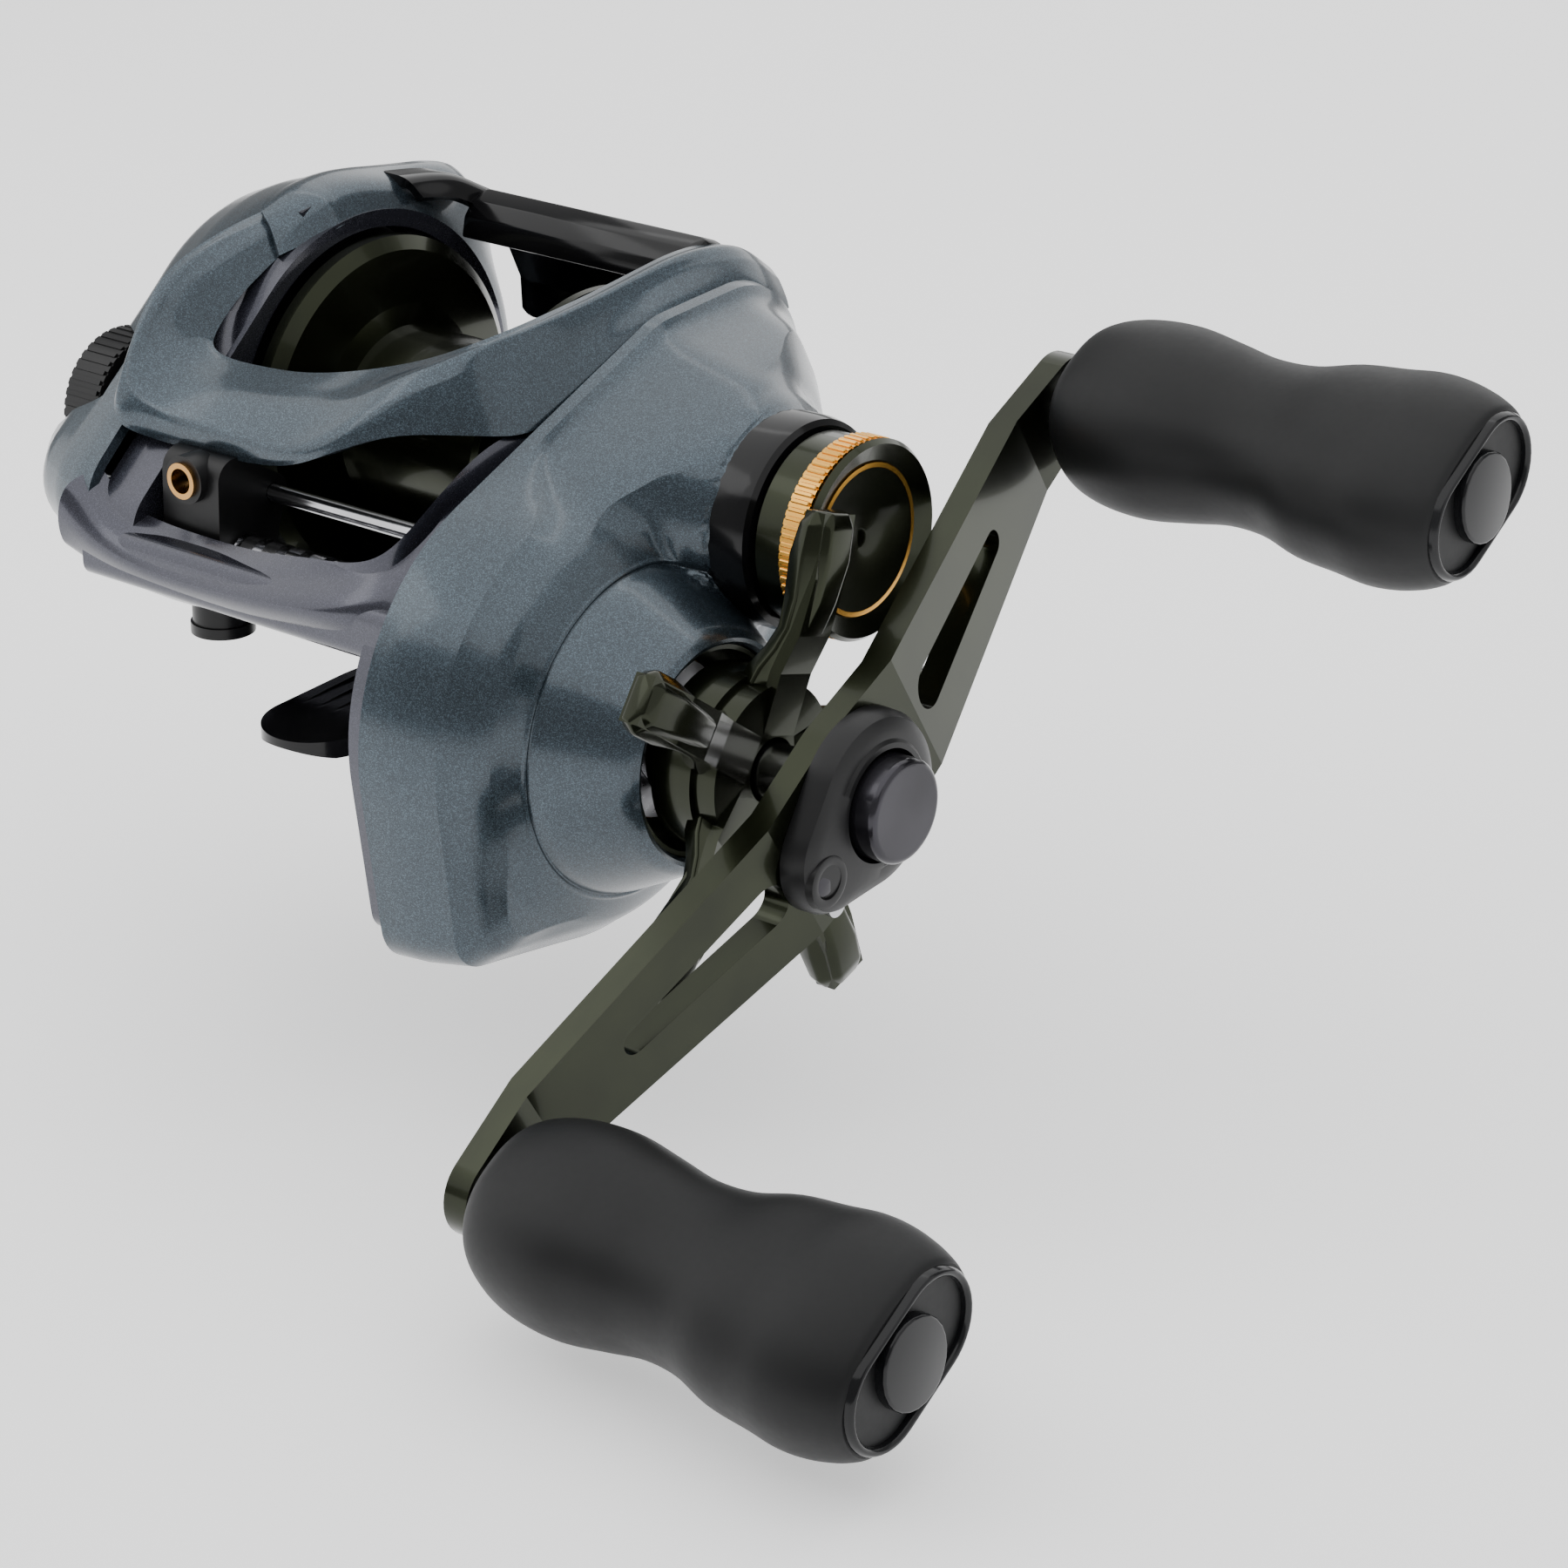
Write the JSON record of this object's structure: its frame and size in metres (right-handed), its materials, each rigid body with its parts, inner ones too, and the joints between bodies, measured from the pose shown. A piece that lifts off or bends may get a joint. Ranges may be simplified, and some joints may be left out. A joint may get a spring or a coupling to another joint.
{
  "type": "baitcasting reel",
  "caption": "Low-profile baitcasting fishing reel with a cranked double-knob handle, star drag, thumb bar clutch and level wind.",
  "frame": {"origin": "centre of the foot seat, the flat middle of the foot underside, straight below the spool axis", "axes": "+X along the spool axis towards the handle, -Y towards the line guide at the front, +Z from the rod up through the spool"},
  "size_m": [0.1219, 0.0955, 0.069],
  "materials": {
    "slate_paint": "metallic slate-blue paint with fine flake under satin clear coat",
    "frame_paint": "dark violet-grey metallic paint, gloss",
    "black_gloss": "gloss black",
    "black_plastic": "satin black moulding",
    "olive_anodised": "gloss dark olive anodised",
    "gold_anodised": "gold anodised, fine turned finish",
    "bronze": "bronze",
    "brass": "machined brass",
    "polished_steel": "polished steel",
    "bearing_steel": "ground steel",
    "gunmetal": "gloss gunmetal",
    "clutch_plastic": "dark moulding",
    "drag_fibre": "woven carbon fibre",
    "knob_rubber": "matte black rubber",
    "knob_cap_black": "gloss black"
  },
  "bodies": {
    "frame": {"main_frame": "frame_paint", "top_hood": "slate_paint", "gear_cover": "slate_paint", "cover_screws": "polished_steel", "reel_foot": "black_gloss", "foot_screws": "polished_steel", "guide_rod": "polished_steel", "worm_bushes": "bearing_steel", "pinion_bearings": "bearing_steel", "handle_side_spool_bearing": "bearing_steel", "drive_shaft_bearing": "bearing_steel", "one_way_clutch": "bearing_steel", "yoke_posts": "polished_steel", "yoke_springs": "polished_steel"},
    "palm_plate": {"palm_side_plate": "slate_paint", "brake_housing": "black_plastic", "palm_spool_bearing": "bearing_steel"},
    "brake_dial": {"brake_dial": "black_plastic"},
    "spool": {"spool": "olive_anodised", "spool_shaft": "polished_steel", "clutch_pins": "polished_steel", "brake_rotor": "clutch_plastic", "brake_blocks": "clutch_plastic"},
    "handle": {"drive_shaft": "polished_steel", "drive_gear": "brass", "idle_gear": "brass", "drag_washers": "drag_fibre", "key_washer": "polished_steel", "ratchet": "polished_steel", "clutch_sleeve": "polished_steel", "drag_spring_washers": "polished_steel", "star_click_ring": "gunmetal", "handle_arm": "olive_anodised", "nut_retainer": "black_plastic", "handle_nut": "gunmetal", "retainer_screw": "polished_steel", "knob_spindles": "polished_steel"},
    "star": {"star_nut": "olive_anodised", "star_drag": "olive_anodised"},
    "yoke": {"clutch_yoke": "clutch_plastic"},
    "pinion": {"pinion_gear": "brass"},
    "thumb_bar": {"thumb_bar": "gunmetal", "clutch_plate": "clutch_plastic"},
    "cast_control": {"cast_control_cap": "olive_anodised", "cast_control_ring": "gold_anodised", "cast_control_accent": "gold_anodised", "spool_shim": "bronze"},
    "worm": {"worm_shaft": "polished_steel", "worm_gear": "brass"},
    "line_guide": {"line_guide": "black_plastic", "guide_eyelet": "bronze", "guide_pawl": "polished_steel", "pawl_cap": "black_plastic"},
    "knob_a": {"knob_a_grip": "knob_rubber", "knob_a_bearings": "bearing_steel", "knob_a_cap": "knob_cap_black"},
    "knob_b": {"knob_b_grip": "knob_rubber", "knob_b_bearings": "bearing_steel", "knob_b_cap": "knob_cap_black"}
  },
  "joints": [
    {"name": "handle_turn", "type": "hinge", "parent": "frame", "child": "handle", "pos_m": [0.045, -0.01459, 0.0058], "axis": [1, 0, 0], "continuous": true},
    {"name": "spool_spin", "type": "hinge", "parent": "frame", "child": "spool", "pos_m": [0, 0, 0.022], "axis": [1, 0, 0], "continuous": true},
    {"name": "thumb_bar_press", "type": "slide", "parent": "frame", "child": "thumb_bar", "axis": [0, 0.5, -0.866], "range_m": [0, 0.004]},
    {"name": "yoke_slide", "type": "slide", "parent": "frame", "child": "yoke", "axis": [1, 0, 0], "range_m": [0, 0.0012]},
    {"name": "pinion_spin", "type": "hinge", "parent": "yoke", "child": "pinion", "pos_m": [0.022, 0, 0.022], "axis": [1, 0, 0], "continuous": true},
    {"name": "star_turn", "type": "hinge", "parent": "handle", "child": "star", "pos_m": [0.043, -0.01459, 0.0058], "axis": [1, 0, 0], "range_deg": [-270, 270]},
    {"name": "cast_control_turn", "type": "hinge", "parent": "frame", "child": "cast_control", "pos_m": [0.041, 0, 0.022], "axis": [1, 0, 0], "range_deg": [-360, 360]},
    {"name": "palm_plate_slide", "type": "slide", "parent": "frame", "child": "palm_plate", "axis": [-1, 0, 0], "range_m": [0, 0.03]},
    {"name": "brake_dial_turn", "type": "hinge", "parent": "palm_plate", "child": "brake_dial", "pos_m": [-0.028, -0.0174, 0.024], "axis": [1, 0, 0], "range_deg": [-135, 135]},
    {"name": "worm_spin", "type": "hinge", "parent": "frame", "child": "worm", "pos_m": [0, -0.02452, 0.01602], "axis": [1, 0, 0], "continuous": true},
    {"name": "line_guide_travel", "type": "slide", "parent": "frame", "child": "line_guide", "axis": [1, 0, 0], "range_m": [0, 0.0208]},
    {"name": "knob_a_spin", "type": "hinge", "parent": "handle", "child": "knob_a", "pos_m": [0.07, 0.02362, 0.02958], "axis": [1, 0, 0], "continuous": true},
    {"name": "knob_b_spin", "type": "hinge", "parent": "handle", "child": "knob_b", "pos_m": [0.07, -0.05279, -0.01798], "axis": [1, 0, 0], "continuous": true}
  ],
  "couplings": [
    {"joint": "spool_spin", "follows": "handle_turn", "ratio": -7.3846},
    {"joint": "pinion_spin", "follows": "handle_turn", "ratio": -7.3846},
    {"joint": "worm_spin", "follows": "handle_turn", "ratio": -1.7143},
    {"joint": "yoke_slide", "follows": "thumb_bar_press", "ratio": 0.3}
  ]
}
